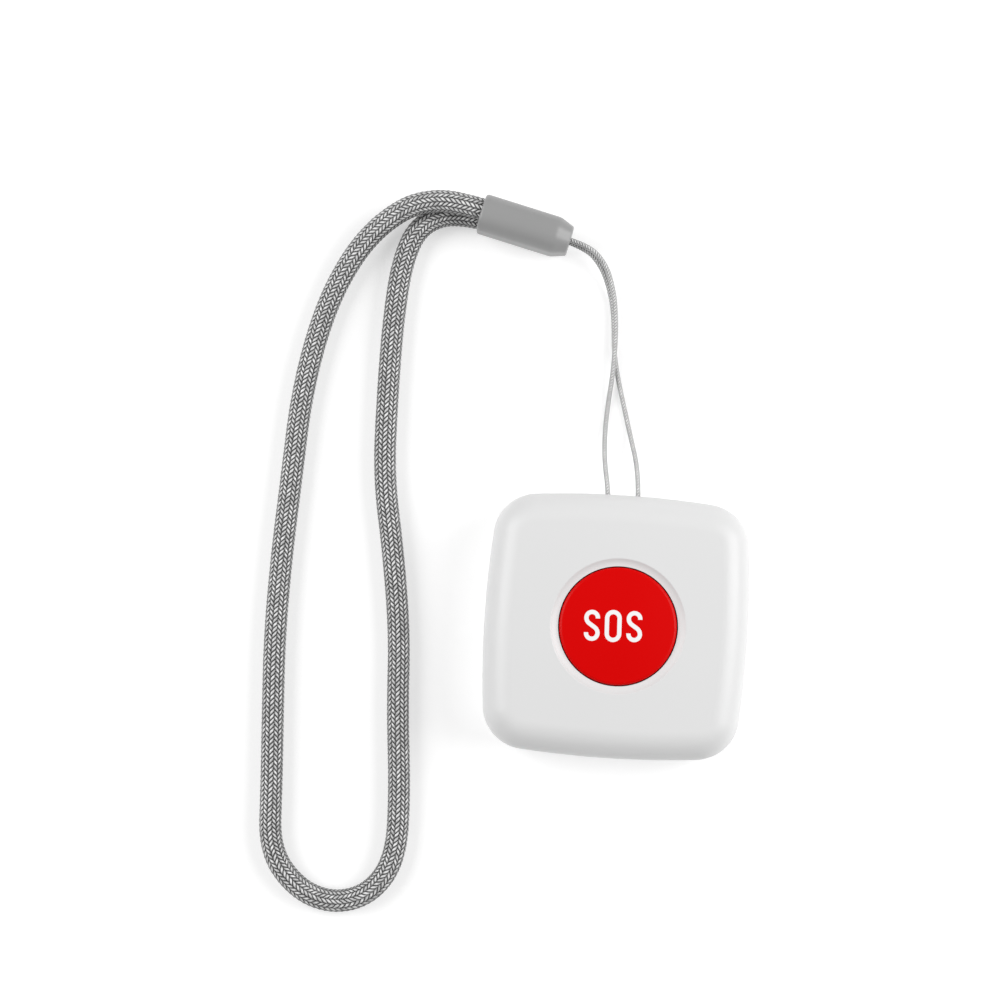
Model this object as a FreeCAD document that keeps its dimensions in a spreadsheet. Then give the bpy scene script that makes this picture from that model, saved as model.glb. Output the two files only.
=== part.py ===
import FreeCAD, Part
import Sketcher
import math
import os

# Wireless panic button on a wrist lanyard, in millimetres.
# The origin is the middle of the housing's back face. +Z leaves the button face and +Y points at
# the lanyard mouth. The strap lies on the same plane as the back face.

os.makedirs("parts", exist_ok=True)
doc = FreeCAD.newDocument("PanicButton")
Vector = FreeCAD.Vector


# Driving sizes

SIZES = {
    # housing
    "body_width": 50.0,
    "body_height": 15.0,
    "seam_height": 6.2,
    "side_radius": 189.0,
    "corner_radius": 8.3,
    "shoulder_radius": 5.5,
    "crown_radius": 620.0,
    "front_draft": 5.0,
    "rear_draft": 4.0,
    "rear_edge_radius": 2.0,
    "wall": 1.6,
    "roof_thickness": 2.1,
    "inner_corner": 0.8,
    "lip_thickness": 0.75,
    "lip_height": 1.0,
    # clearances
    "flat_gap": 0.05,
    "side_gap": 0.2,
    "board_gap": 0.3,
    "thread_gap": 0.5,
    # button
    "cap_radius": 11.0,
    "cap_rise": 0.1,
    "cap_crown_radius": 120.0,
    "cap_edge_radius": 0.6,
    "cap_thickness": 1.5,
    "cap_wall": 1.4,
    "nub_radius": 2.0,
    "flange_width": 2.0,
    "flange_height": 0.8,
    "dish_width": 1.45,
    "dish_depth": 0.75,
    "dish_radius": 2.5,
    "dish_rim": 0.25,
    "collar_width": 1.6,
    "collar_depth": 0.8,
    "rib_width": 1.2,
    "rib_length": 1.6,
    "rib_count": 4,
    "button_travel": 0.3,
    # screws
    "boss_inset": 7.7,
    "boss_radius": 2.3,
    "screw_radius": 0.85,
    "screw_head_radius": 1.6,
    "screw_head_height": 1.0,
    "screw_sink": 0.3,
    "screw_length": 9.0,
    "screw_tip": 0.9,
    "screw_point": 0.8,
    "pilot_gap": 0.03,
    "pilot_depth": 0.5,
    "post_inset": 6.7,
    "post_radius": 2.0,
    "board_screw_length": 4.5,
    "cross_width": 0.45,
    "cross_length": 1.9,
    "cross_depth": 0.5,
    # battery door and well
    "cell_radius": 10.0,
    "cell_height": 3.2,
    "cell_can_edge": 1.4,
    "cell_step": 0.3,
    "cell_edge_radius": 0.4,
    "well_gap": 0.4,
    "well_wall": 1.6,
    "door_radius": 13.4,
    "door_thickness": 1.2,
    "door_sink": 0.1,
    "door_boss_radius": 10.9,
    "door_boss_wall": 1.3,
    "door_rim_width": 1.1,
    "door_edge": 0.2,
    "seal_room": 0.8,
    "shelf_thickness": 0.8,
    "lug_height": 0.6,
    "lug_length": 1.0,
    "lug_width": 4.0,
    "lug_count": 3,
    "door_turn": 45.0,
    "slot_length": 10.0,
    "slot_width": 1.6,
    "slot_depth": 0.7,
    # boards and switch
    "board_thickness": 0.8,
    "board_margin": 0.5,
    "notch_shift": 1.7,
    "contact_room": 0.8,
    "contact_sheet": 0.2,
    "contact_width": 2.4,
    "contact_foot": 2.6,
    "spring_reach": 8.0,
    "switch_width": 6.0,
    "plunger_flange": 0.65,
    "terminal_width": 0.7,
    "terminal_place": 2.25,
    "terminal_reach": 1.4,
    "terminal_rise": 1.4,
    "cover_tab_width": 2.0,
    "cover_tab_height": 1.5,
    "switch_height": 3.5,
    "switch_base_height": 2.1,
    "switch_cover_sheet": 0.3,
    "plunger_radius": 1.75,
    "dome_radius": 2.2,
    "dome_height": 0.45,
    "dome_sheet": 0.12,
    "radio_width": 16.0,
    "radio_length": 8.4,
    "radio_margin": 1.0,
    "radio_thickness": 0.8,
    "radio_pitch": 1.5,
    "radio_contacts": 7,
    "led_side_inset": 12.5,
    "led_front_inset": 16.0,
    "led_length": 1.6,
    "led_width": 0.8,
    "led_height": 0.6,
    "chip_width": 4.0,
    "chip_height": 0.9,
    "chip_y": 8.0,
    "resistor_count": 4,
    "resistor_pitch": 1.8,
    "shield_height": 1.4,
    "shield_sheet": 0.2,
    "shield_margin": 1.0,
    "shield_inset": 1.4,
    "aerial_length": 4.0,
    # lanyard bar
    "thread_diameter": 1.0,
    "thread_spread": 5.7,
    "bar_turn_place": 20.6,
    "mouth_depth": 2.4,
    "block_wall": 1.6,
    # strap
    "cord_diameter": 4.3,
    "cuff_width": 7.2,
    "cuff_height": 10.4,
    "cuff_length": 17.8,
    "cuff_straight": 14.9,
    "cuff_tip_width": 5.2,
    "cuff_tip_height": 7.8,
    "cuff_corner": 3.3,
    "cuff_tip_corner": 2.2,
    "cuff_shoulder": 2.5,
    "cuff_rim": 0.5,
    "cuff_mouth_x": -30.55,
    "cuff_mouth_y": 77.37,
    "cuff_turn": -13.9,
    "bore_width": 5.5,
    "bore_height": 8.8,
    "bore_corner": 2.4,
    "bore_depth": 13.0,
    "knot_radius": 1.9,
    "knot_length": 2.6,
    "knot_edge": 0.7,
}

sizes = doc.addObject("Spreadsheet::Sheet", "Sizes")
for row, (alias, number) in enumerate(SIZES.items(), 1):
    sizes.set(f"A{row}", alias)
    sizes.set(f"B{row}", str(number))
    sizes.setAlias(f"B{row}", alias)
doc.recompute()


def value(expression):
    """The number that an expression on the sheet gives."""
    return float(sizes.evalExpression(str(expression)))


# Levels, as expressions on the sheet

SEAM = "Sizes.seam_height"
ROOF_UNDER = "(Sizes.body_height - Sizes.roof_thickness)"
COLLAR_UNDER = f"({ROOF_UNDER} - Sizes.collar_depth)"
SHELF_UNDER = "(Sizes.door_sink + Sizes.door_thickness + Sizes.seal_room)"
SHELF_TOP = f"({SHELF_UNDER} + Sizes.shelf_thickness)"
LUG_UNDER = f"({SHELF_TOP} + Sizes.flat_gap)"
LUG_TOP = f"({LUG_UNDER} + Sizes.lug_height)"
CELL_UNDER = f"({LUG_TOP} + Sizes.flat_gap)"
CELL_TOP = f"({CELL_UNDER} + Sizes.cell_height)"
BOARD_UNDER = f"({CELL_TOP} + Sizes.contact_room)"
BOARD_TOP = f"({BOARD_UNDER} + Sizes.board_thickness)"
PLUNGER_TOP = f"({BOARD_TOP} + Sizes.switch_height)"
COVER_UNDER = f"({BOARD_TOP} + Sizes.switch_base_height)"
FLANGE_TOP = f"({COLLAR_UNDER} - 2 * Sizes.flat_gap)"
FLANGE_UNDER = f"({FLANGE_TOP} - Sizes.flange_height)"
SCREW_SEAT = "(Sizes.screw_sink + Sizes.screw_head_height)"

# Places that keep their distance from the housing's sides, as expressions on the sheet

BOSS_PLACE = "(Sizes.body_width / 2 - Sizes.boss_inset)"
POST_PLACE = "(Sizes.body_width / 2 - Sizes.post_inset)"
LED_X = "(Sizes.body_width / 2 - Sizes.led_side_inset)"
LED_Y = "(Sizes.led_front_inset - Sizes.body_width / 2)"

# Radii, as expressions on the sheet

HOLE_RADIUS = "(Sizes.cap_radius + Sizes.side_gap)"
COLLAR_RADIUS = f"({HOLE_RADIUS} + Sizes.collar_width)"
DISH_RADIUS = f"({HOLE_RADIUS} + Sizes.dish_width)"
FLANGE_RADIUS = "(Sizes.cap_radius + Sizes.flange_width)"
RECESS_RADIUS = "(Sizes.door_radius + Sizes.side_gap)"
SHELF_RADIUS = "(Sizes.door_boss_radius + Sizes.side_gap)"
LUG_RADIUS = "(Sizes.door_boss_radius + Sizes.lug_length)"
GROOVE_RADIUS = f"({LUG_RADIUS} + Sizes.side_gap)"
WELL_RADIUS = "(Sizes.cell_radius + Sizes.well_gap)"
THREAD_SIDE = "(Sizes.thread_spread / 2)"

# How far a cutting outline runs past the form that it cuts

PAST_FORM = "5"


# Sketch and feature helpers

def new_body(label):
    body = doc.addObject("PartDesign::Body", label)
    body.Label = label
    return body


def sketch_on(body, name, role="XY_Plane", height="0", turn="0"):
    """A sketch on one of the body's own planes, lifted and turned by expressions."""
    plane = next(f for f in body.Origin.OriginFeatures if f.Role == role)
    sketch = body.newObject("Sketcher::SketchObject", name)
    sketch.AttachmentSupport = [(plane, "")]
    sketch.MapMode = "FlatFace"
    sketch.AttachmentOffset = FreeCAD.Placement(
        Vector(0, 0, value(height)), FreeCAD.Rotation(Vector(0, 0, 1), value(turn)))
    sketch.setExpression("AttachmentOffset.Base.z", height)
    if turn != "0":
        sketch.setExpression("AttachmentOffset.Rotation.Angle", turn)
    return sketch


def constrain(sketch, kind, references, expression):
    """Adds a dimension and binds it to an expression on the sheet."""
    index = sketch.addConstraint(Sketcher.Constraint(kind, *references, value(expression)))
    name = f"size_{index}"
    sketch.renameConstraint(index, name)
    sketch.setExpression(f"Constraints.{name}", expression)


def place_point(sketch, geometry, position, x, y):
    constrain(sketch, "DistanceX", (-1, 1, geometry, position), x)
    constrain(sketch, "DistanceY", (-1, 1, geometry, position), y)


def circle(sketch, x, y, radius):
    centre = Vector(value(x), value(y), 0)
    index = sketch.addGeometry(Part.Circle(centre, Vector(0, 0, 1), value(radius)))
    place_point(sketch, index, 3, x, y)
    constrain(sketch, "Radius", (index,), radius)


def outline(sketch, corners, arcs=None):
    """A closed outline through corners given as pairs of expressions. arcs gives the radius of
    the sides that are bowed, by their number: 1 bows to the right of the way round, -1 to the
    left. A half circle lies between two corners of one height."""
    arcs = arcs or {}
    points = [Vector(value(x), value(y), 0) for x, y in corners]
    ends = []
    for side, start in enumerate(points):
        end = points[(side + 1) % len(points)]
        if side not in arcs:
            index = sketch.addGeometry(Part.LineSegment(start, end))
            ends.append((index, 1, 2))
            continue
        radius, bow = arcs[side]
        chord = end - start
        left = Vector(-chord.y, chord.x, 0).normalize()
        rise = math.sqrt(max(value(radius) ** 2 - chord.Length ** 2 / 4, 0))
        centre = (start + end) * 0.5 + left * (rise * bow)
        first, last = (start, end) if bow > 0 else (end, start)
        angles = [math.atan2(point.y - centre.y, point.x - centre.x) for point in (first, last)]
        round_line = Part.Circle(centre, Vector(0, 0, 1), value(radius))
        index = sketch.addGeometry(Part.ArcOfCircle(round_line, *angles))
        ends.append((index, 1, 2) if bow > 0 else (index, 2, 1))
    for side, (index, first, last) in enumerate(ends):
        following = ends[(side + 1) % len(ends)]
        sketch.addConstraint(
            Sketcher.Constraint("Coincident", index, last, following[0], following[1]))
        place_point(sketch, index, first, *corners[side])
        if side in arcs:
            chord = (points[(side + 1) % len(points)] - points[side]).Length
            if abs(chord - 2 * value(arcs[side][0])) > 1e-6:
                constrain(sketch, "Radius", (index,), arcs[side][0])
            else:
                constrain(sketch, "DistanceY", (-1, 1, index, 3), corners[side][1])


def rectangle(sketch, x_low, x_high, y_low, y_high):
    outline(sketch, [(x_low, y_low), (x_high, y_low), (x_high, y_high), (x_low, y_high)])


def rounded_rectangle(sketch, width, height, radius):
    """A rectangle about the sketch's origin with round corners."""
    x_side, y_side = f"({width}) / 2", f"({height}) / 2"
    x_flat, y_flat = f"({x_side} - ({radius}))", f"({y_side} - ({radius}))"
    outline(sketch, [
        (f"-{x_flat}", f"-({y_side})"), (x_flat, f"-({y_side})"),
        (x_side, f"-{y_flat}"), (x_side, y_flat),
        (x_flat, y_side), (f"-{x_flat}", y_side),
        (f"-({x_side})", y_flat), (f"-({x_side})", f"-{y_flat}"),
    ], {corner: (radius, 1) for corner in (1, 3, 5, 7)})


def pillow(sketch, inset="0"):
    """The housing's outline moved in by the inset: four bowed sides and four round corners."""
    first = len(sketch.Geometry)
    side_radius = f"Sizes.side_radius - ({inset})"
    corner_radius = f"Sizes.corner_radius - ({inset})"
    back = "Sizes.side_radius - Sizes.body_width / 2"
    reach = value("Sizes.side_radius - Sizes.corner_radius")
    corner = (math.sqrt(2 * reach ** 2 - value(back) ** 2) - value(back)) / 2
    joint = math.atan2(corner, corner + value(back))
    for quarter in range(4):
        turn = quarter * math.pi / 2
        side_centre = Vector(-value(back), 0, 0)
        corner_centre = Vector(corner, corner, 0)
        spin = FreeCAD.Rotation(Vector(0, 0, 1), math.degrees(turn))
        for centre, radius, start, end in (
                (side_centre, side_radius, turn - joint, turn + joint),
                (corner_centre, corner_radius, turn + joint, turn + math.pi / 2 - joint)):
            round_line = Part.Circle(spin.multVec(centre), Vector(0, 0, 1), value(radius))
            sketch.addGeometry(Part.ArcOfCircle(round_line, start, end))
    side, after = first, first + 1
    for step in range(8):
        sketch.addConstraint(Sketcher.Constraint(
            "Tangent", first + step, 2, first + (step + 1) % 8, 1))
    for step in (2, 4, 6):
        sketch.addConstraint(Sketcher.Constraint("Equal", side, side + step))
        sketch.addConstraint(Sketcher.Constraint("Equal", after, after + step))
    for step, axis in ((0, -1), (4, -1), (2, -2), (6, -2)):
        sketch.addConstraint(Sketcher.Constraint("PointOnObject", side + step, 3, axis))
    constrain(sketch, "Radius", (side,), side_radius)
    constrain(sketch, "Radius", (after,), corner_radius)
    constrain(sketch, "DistanceX", (side, 3, -1, 1), back)
    constrain(sketch, "DistanceY", (side + 2, 3, -1, 1), back)
    constrain(sketch, "DistanceX", (-1, 1, side + 4, 3), back)
    constrain(sketch, "DistanceY", (-1, 1, side + 6, 3), back)


def extrude(body, kind, name, sketch, length, upward=True, taper=None):
    """A Pad or Pocket of a sketch, up or down the sketch's normal."""
    feature = body.newObject(f"PartDesign::{kind}", name)
    feature.Profile = sketch
    feature.Type = "Length"
    feature.setExpression("Length", length)
    feature.Reversed = upward if kind == "Pocket" else not upward
    if taper:
        feature.setExpression("TaperAngle", taper)
    return feature


def pad(body, name, sketch, length, upward=True, taper=None):
    return extrude(body, "Pad", name, sketch, length, upward, taper)


def pocket(body, name, sketch, length, upward=True, taper=None):
    return extrude(body, "Pocket", name, sketch, length, upward, taper)


def turned(body, kind, name, sketch):
    """A Revolution or Groove of a sketch on the XZ plane, about the Z axis."""
    feature = body.newObject(f"PartDesign::{kind}", name)
    feature.Profile = sketch
    feature.ReferenceAxis = (sketch, ["V_Axis"])
    feature.Angle = 360
    return feature


def fillet(body, name, base, chosen, radius):
    """Rounds the edges of the base feature that the test picks."""
    doc.recompute()
    edges = [f"Edge{number}" for number, edge in enumerate(base.Shape.Edges, 1) if chosen(edge)]
    feature = body.newObject("PartDesign::Fillet", name)
    feature.Base = (base, edges)
    feature.setExpression("Radius", radius)
    return feature


def polar(body, name, original, sketch, count):
    """Repeats a feature about the Z axis."""
    pattern = body.newObject("PartDesign::PolarPattern", name)
    pattern.Originals = [original]
    pattern.Axis = (sketch, ["N_Axis"])
    pattern.Angle = 360
    pattern.setExpression("Occurrences", count)
    body.Tip = pattern
    return pattern


def at_level(edge, level):
    box = edge.BoundBox
    return abs(box.ZMin - level) < 1e-4 and abs(box.ZMax - level) < 1e-4


FOUR_CORNERS = [(x, y) for x in ("", "-") for y in ("", "-")]


# Lanyard block, shared by both shells

CHANNEL_HALF = "(Sizes.thread_diameter / 2 + Sizes.thread_gap)"
BLOCK_SIDE = f"({THREAD_SIDE} + {CHANNEL_HALF} + Sizes.block_wall)"
BLOCK_BACK = f"(Sizes.bar_turn_place - {THREAD_SIDE} - {CHANNEL_HALF} - Sizes.block_wall)"
BLOCK_FRONT = "(Sizes.body_width / 2 - Sizes.wall / 2)"


# Front shell: white moulding with the button opening

def front_shell():
    body = new_body("front_shell")
    form_sketch = sketch_on(body, "FrontOutline", height=SEAM)
    pillow(form_sketch)
    pad(body, "FrontForm", form_sketch, f"Sizes.body_height - {SEAM} + {PAST_FORM}",
        taper="-Sizes.front_draft")

    crown_reach = "Sizes.body_width"
    crown_edge = ("(Sizes.body_height - Sizes.crown_radius"
                  f" + sqrt(Sizes.crown_radius ^ 2 - {crown_reach} ^ 2))")
    crown_sketch = sketch_on(body, "CrownProfile", "XZ_Plane")
    outline(crown_sketch, [
        ("0", "Sizes.body_height"), (crown_reach, crown_edge),
        (crown_reach, f"Sizes.body_height + 2 * {PAST_FORM}"), ("0", f"Sizes.body_height + 2 * {PAST_FORM}"),
    ], {0: ("Sizes.crown_radius", -1)})
    crown = turned(body, "Groove", "Crown", crown_sketch)
    fillet(body, "Shoulder", crown, lambda edge: edge.BoundBox.ZMin > value(ROOF_UNDER),
           "Sizes.shoulder_radius")

    cavity_sketch = sketch_on(body, "CavityOutline", height=SEAM)
    pillow(cavity_sketch, "Sizes.wall")
    cavity = pocket(body, "Cavity", cavity_sketch, f"{ROOF_UNDER} - {SEAM}", taper="-Sizes.front_draft")
    fillet(body, "CavityShoulder", cavity, lambda edge: at_level(edge, value(ROOF_UNDER)),
           "Sizes.shoulder_radius - Sizes.wall")

    rebate_sketch = sketch_on(body, "RebateOutline", height=SEAM)
    pillow(rebate_sketch, "Sizes.wall - Sizes.lip_thickness - Sizes.flat_gap")
    pocket(body, "Rebate", rebate_sketch, "Sizes.lip_height + Sizes.flat_gap")

    collar_sketch = sketch_on(body, "CollarRing", height=COLLAR_UNDER)
    circle(collar_sketch, "0", "0", COLLAR_RADIUS)
    pad(body, "Collar", collar_sketch, "Sizes.collar_depth + Sizes.flat_gap")

    rib_end = f"({FLANGE_UNDER} - Sizes.button_travel)"
    rib_sketch = sketch_on(body, "GuideRibOutline", height=rib_end)
    rectangle(rib_sketch, f"{COLLAR_RADIUS} - Sizes.flat_gap", f"{COLLAR_RADIUS} + Sizes.rib_length",
              "-Sizes.rib_width / 2", "Sizes.rib_width / 2")
    rib = pad(body, "GuideRib", rib_sketch, f"{ROOF_UNDER} - {rib_end} + Sizes.flat_gap")
    polar(body, "GuideRibs", rib, rib_sketch, "Sizes.rib_count")

    dish_edge = ("(Sizes.body_height - Sizes.crown_radius"
                 f" + sqrt(Sizes.crown_radius ^ 2 - {DISH_RADIUS} ^ 2))")
    opening_sketch = sketch_on(body, "OpeningProfile", "XZ_Plane")
    outline(opening_sketch, [
        ("0", SEAM), (HOLE_RADIUS, SEAM),
        (HOLE_RADIUS, "Sizes.body_height - Sizes.dish_depth"), (DISH_RADIUS, dish_edge),
        (DISH_RADIUS, f"Sizes.body_height + {PAST_FORM}"), ("0", f"Sizes.body_height + {PAST_FORM}"),
    ], {2: ("Sizes.dish_radius", 1)})
    opening = turned(body, "Groove", "Opening", opening_sketch)
    fillet(body, "DishRim", opening, lambda edge: at_level(edge, value(dish_edge)), "Sizes.dish_rim")

    boss_sketch = sketch_on(body, "BossCircles", height=SEAM)
    for x, y in FOUR_CORNERS:
        circle(boss_sketch, f"{x}{BOSS_PLACE}", f"{y}{BOSS_PLACE}", "Sizes.boss_radius")
    pad(body, "Bosses", boss_sketch, f"{ROOF_UNDER} - {SEAM} + Sizes.flat_gap")
    pilot_sketch = sketch_on(body, "PilotCircles", height=SEAM)
    for x, y in FOUR_CORNERS:
        circle(pilot_sketch, f"{x}{BOSS_PLACE}", f"{y}{BOSS_PLACE}",
               "Sizes.screw_radius + Sizes.pilot_gap")
    pocket(body, "PilotHoles", pilot_sketch,
           f"{SCREW_SEAT} + Sizes.screw_length + Sizes.pilot_depth - {SEAM}")

    shelf_sketch = sketch_on(body, "LanyardLidOutline", height=SEAM)
    rectangle(shelf_sketch, f"-{BLOCK_SIDE}", BLOCK_SIDE, BLOCK_BACK, BLOCK_FRONT)
    pad(body, "LanyardLid", shelf_sketch, "Sizes.lip_height")
    return body


# Rear shell: screw pillars, battery well, bayonet shelf and the lanyard bar

def rear_shell():
    body = new_body("rear_shell")
    form_sketch = sketch_on(body, "RearOutline", height=SEAM)
    pillow(form_sketch)
    form = pad(body, "RearForm", form_sketch, SEAM, upward=False, taper="-Sizes.rear_draft")
    fillet(body, "RearEdge", form, lambda edge: at_level(edge, 0), "Sizes.rear_edge_radius")

    cavity_sketch = sketch_on(body, "RearCavityOutline", height=SEAM)
    pillow(cavity_sketch, "Sizes.wall")
    cavity = pocket(body, "RearCavity", cavity_sketch, f"{SEAM} - Sizes.wall", upward=False,
                    taper="-Sizes.rear_draft")
    fillet(body, "RearCavityEdge", cavity, lambda edge: at_level(edge, value("Sizes.wall")),
           "Sizes.inner_corner")

    lip_sketch = sketch_on(body, "LipBand", height=SEAM)
    pillow(lip_sketch, "Sizes.wall - Sizes.lip_thickness")
    pillow(lip_sketch, "Sizes.wall")
    pad(body, "Lip", lip_sketch, "Sizes.lip_height")
    gap_sketch = sketch_on(body, "LipGapOutline", height=SEAM)
    rectangle(gap_sketch, f"-{BLOCK_SIDE} - Sizes.side_gap", f"{BLOCK_SIDE} + Sizes.side_gap",
              "Sizes.body_width / 2 - 3 * Sizes.wall", "Sizes.body_width / 2 + Sizes.wall")
    pocket(body, "LipGap", gap_sketch, "Sizes.lip_height + Sizes.wall")

    pillar_sketch = sketch_on(body, "PillarCircles", height="Sizes.wall / 2")
    for x, y in FOUR_CORNERS:
        circle(pillar_sketch, f"{x}{BOSS_PLACE}", f"{y}{BOSS_PLACE}", "Sizes.boss_radius")
    pad(body, "Pillars", pillar_sketch, f"{SEAM} - Sizes.wall / 2")

    post_sketch = sketch_on(body, "PostCircles", height="Sizes.wall / 2")
    for x in ("", "-"):
        circle(post_sketch, f"{x}{POST_PLACE}", "0", "Sizes.post_radius")
    pad(body, "BoardPosts", post_sketch, f"{BOARD_UNDER} - Sizes.wall / 2")
    tap_sketch = sketch_on(body, "PostPilotCircles", height=BOARD_UNDER)
    for x in ("", "-"):
        circle(tap_sketch, f"{x}{POST_PLACE}", "0", "Sizes.screw_radius + Sizes.pilot_gap")
    pocket(body, "PostPilots", tap_sketch, "Sizes.board_screw_length", upward=False)

    well_sketch = sketch_on(body, "WellProfile", "XZ_Plane")
    step = f"({CELL_UNDER} + Sizes.shelf_thickness)"
    foot = f"({RECESS_RADIUS} + Sizes.wall)"
    top = f"({WELL_RADIUS} + Sizes.well_wall)"
    outline(well_sketch, [
        ("0", "Sizes.wall / 2"), (foot, "Sizes.wall / 2"), (foot, step),
        (top, step), (top, BOARD_UNDER), ("0", BOARD_UNDER),
    ])
    turned(body, "Revolution", "Well", well_sketch)
    bore_sketch = sketch_on(body, "WellBoreProfile", "XZ_Plane")
    outline(bore_sketch, [
        ("0", "-Sizes.wall"), (RECESS_RADIUS, "-Sizes.wall"), (RECESS_RADIUS, SHELF_UNDER),
        (SHELF_RADIUS, SHELF_UNDER), (SHELF_RADIUS, SHELF_TOP), (GROOVE_RADIUS, SHELF_TOP),
        (GROOVE_RADIUS, CELL_UNDER), (WELL_RADIUS, CELL_UNDER),
        (WELL_RADIUS, f"{BOARD_UNDER} + Sizes.wall"), ("0", f"{BOARD_UNDER} + Sizes.wall"),
    ])
    turned(body, "Groove", "WellBore", bore_sketch)

    notch_half = "(Sizes.lug_width / 2 + Sizes.side_gap)"
    notch_sketch = sketch_on(body, "NotchOutline", height=SHELF_UNDER, turn="-Sizes.door_turn")
    bayonet_sector(notch_sketch, notch_half, GROOVE_RADIUS)
    notch = pocket(body, "Notch", notch_sketch, "Sizes.shelf_thickness")
    polar(body, "Notches", notch, notch_sketch, "Sizes.lug_count")

    block_sketch = sketch_on(body, "LanyardBlockOutline", height="Sizes.wall / 2")
    rectangle(block_sketch, f"-{BLOCK_SIDE}", BLOCK_SIDE, BLOCK_BACK, BLOCK_FRONT)
    pad(body, "LanyardBlock", block_sketch, f"{SEAM} - Sizes.wall / 2")
    channel_sketch = sketch_on(body, "LanyardChannelOutline", height=SEAM)
    wide = f"({THREAD_SIDE} + {CHANNEL_HALF})"
    narrow = f"({THREAD_SIDE} - {CHANNEL_HALF})"
    mouth = "(Sizes.body_width / 2 + Sizes.wall)"
    turn_place = "Sizes.bar_turn_place"
    outline(channel_sketch, [
        (wide, mouth), (narrow, mouth), (narrow, turn_place), (f"-{narrow}", turn_place),
        (f"-{narrow}", mouth), (f"-{wide}", mouth), (f"-{wide}", turn_place), (wide, turn_place),
    ], {2: (narrow, -1), 6: (wide, 1)})
    pocket(body, "LanyardChannel", channel_sketch, "Sizes.mouth_depth", upward=False)

    hole_sketch = sketch_on(body, "ScrewHoleCircles")
    for x, y in FOUR_CORNERS:
        circle(hole_sketch, f"{x}{BOSS_PLACE}", f"{y}{BOSS_PLACE}",
               "Sizes.screw_radius + Sizes.side_gap")
    pocket(body, "ScrewHoles", hole_sketch, f"{SEAM} + Sizes.lip_height")
    sink_sketch = sketch_on(body, "ScrewSinkCircles")
    for x, y in FOUR_CORNERS:
        circle(sink_sketch, f"{x}{BOSS_PLACE}", f"{y}{BOSS_PLACE}",
               "Sizes.screw_head_radius + Sizes.side_gap")
    pocket(body, "ScrewSinks", sink_sketch, "Sizes.screw_sink + Sizes.screw_head_height")
    return body


def bayonet_sector(sketch, half_width, radius):
    """A lug's or notch's outline: two parallel sides, a flat inside the boss and a round end."""
    root = "Sizes.door_boss_radius - Sizes.door_boss_wall / 2"
    tip = f"sqrt(({radius}) ^ 2 - ({half_width}) ^ 2)"
    outline(sketch, [
        (root, f"-({half_width})"), (tip, f"-({half_width})"), (tip, half_width), (root, half_width),
    ], {1: (radius, 1)})


# Button cap: red, round, on a flange that four ribs keep from turning

def button_cap():
    body = new_body("button_cap")
    top = "(Sizes.body_height + Sizes.cap_rise)"
    rim = (f"({top} - Sizes.cap_crown_radius"
           " + sqrt(Sizes.cap_crown_radius ^ 2 - Sizes.cap_radius ^ 2))")
    inside = f"({top} - Sizes.cap_thickness)"
    hollow = "(Sizes.cap_radius - Sizes.cap_wall)"
    nub_end = f"({PLUNGER_TOP} + Sizes.flat_gap)"
    profile = sketch_on(body, "CapProfile", "XZ_Plane")
    outline(profile, [
        ("0", top), ("Sizes.cap_radius", rim), ("Sizes.cap_radius", FLANGE_TOP),
        (FLANGE_RADIUS, FLANGE_TOP), (FLANGE_RADIUS, FLANGE_UNDER), (hollow, FLANGE_UNDER),
        (hollow, inside), ("Sizes.nub_radius", inside), ("Sizes.nub_radius", nub_end), ("0", nub_end),
    ], {0: ("Sizes.cap_crown_radius", -1)})
    form = turned(body, "Revolution", "CapForm", profile)
    fillet(body, "CapEdge", form, lambda edge: at_level(edge, value(rim)), "Sizes.cap_edge_radius")

    slot_half = "(Sizes.rib_width / 2 + Sizes.side_gap)"
    slot_sketch = sketch_on(body, "RibSlotOutline", height=FLANGE_UNDER)
    rectangle(slot_sketch, f"{COLLAR_RADIUS} - Sizes.flat_gap - Sizes.side_gap",
              f"{FLANGE_RADIUS} + {PAST_FORM}", f"-{slot_half}", slot_half)
    slot = pocket(body, "RibSlot", slot_sketch, "Sizes.flange_height")
    polar(body, "RibSlots", slot, slot_sketch, "Sizes.rib_count")
    return body


# Battery door: turns a part of a turn under three bayonet lugs

def battery_door():
    body = new_body("battery_door")
    plate_top = "(Sizes.door_sink + Sizes.door_thickness)"
    rim_inside = "(Sizes.door_radius - Sizes.door_rim_width)"
    rim_top = f"({SHELF_UNDER} - Sizes.flat_gap)"
    hollow = "(Sizes.door_boss_radius - Sizes.door_boss_wall)"
    profile = sketch_on(body, "DoorProfile", "XZ_Plane")
    outline(profile, [
        ("0", "Sizes.door_sink"), ("Sizes.door_radius", "Sizes.door_sink"),
        ("Sizes.door_radius", rim_top), (rim_inside, rim_top), (rim_inside, plate_top),
        ("Sizes.door_boss_radius", plate_top), ("Sizes.door_boss_radius", LUG_TOP),
        (hollow, LUG_TOP), (hollow, plate_top), ("0", plate_top),
    ])
    form = turned(body, "Revolution", "DoorForm", profile)
    fillet(body, "DoorEdge", form, lambda edge: at_level(edge, value("Sizes.door_sink")),
           "Sizes.door_edge")
    lug_sketch = sketch_on(body, "LugOutline", height=LUG_UNDER)
    bayonet_sector(lug_sketch, "Sizes.lug_width / 2", LUG_RADIUS)
    lug = pad(body, "Lug", lug_sketch, "Sizes.lug_height")
    polar(body, "Lugs", lug, lug_sketch, "Sizes.lug_count")
    slot_sketch = sketch_on(body, "CoinSlotOutline")
    rectangle(slot_sketch, "-Sizes.slot_length / 2", "Sizes.slot_length / 2",
              "-Sizes.slot_width / 2", "Sizes.slot_width / 2")
    pocket(body, "CoinSlot", slot_sketch, "Sizes.door_sink + Sizes.slot_depth")
    return body


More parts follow.
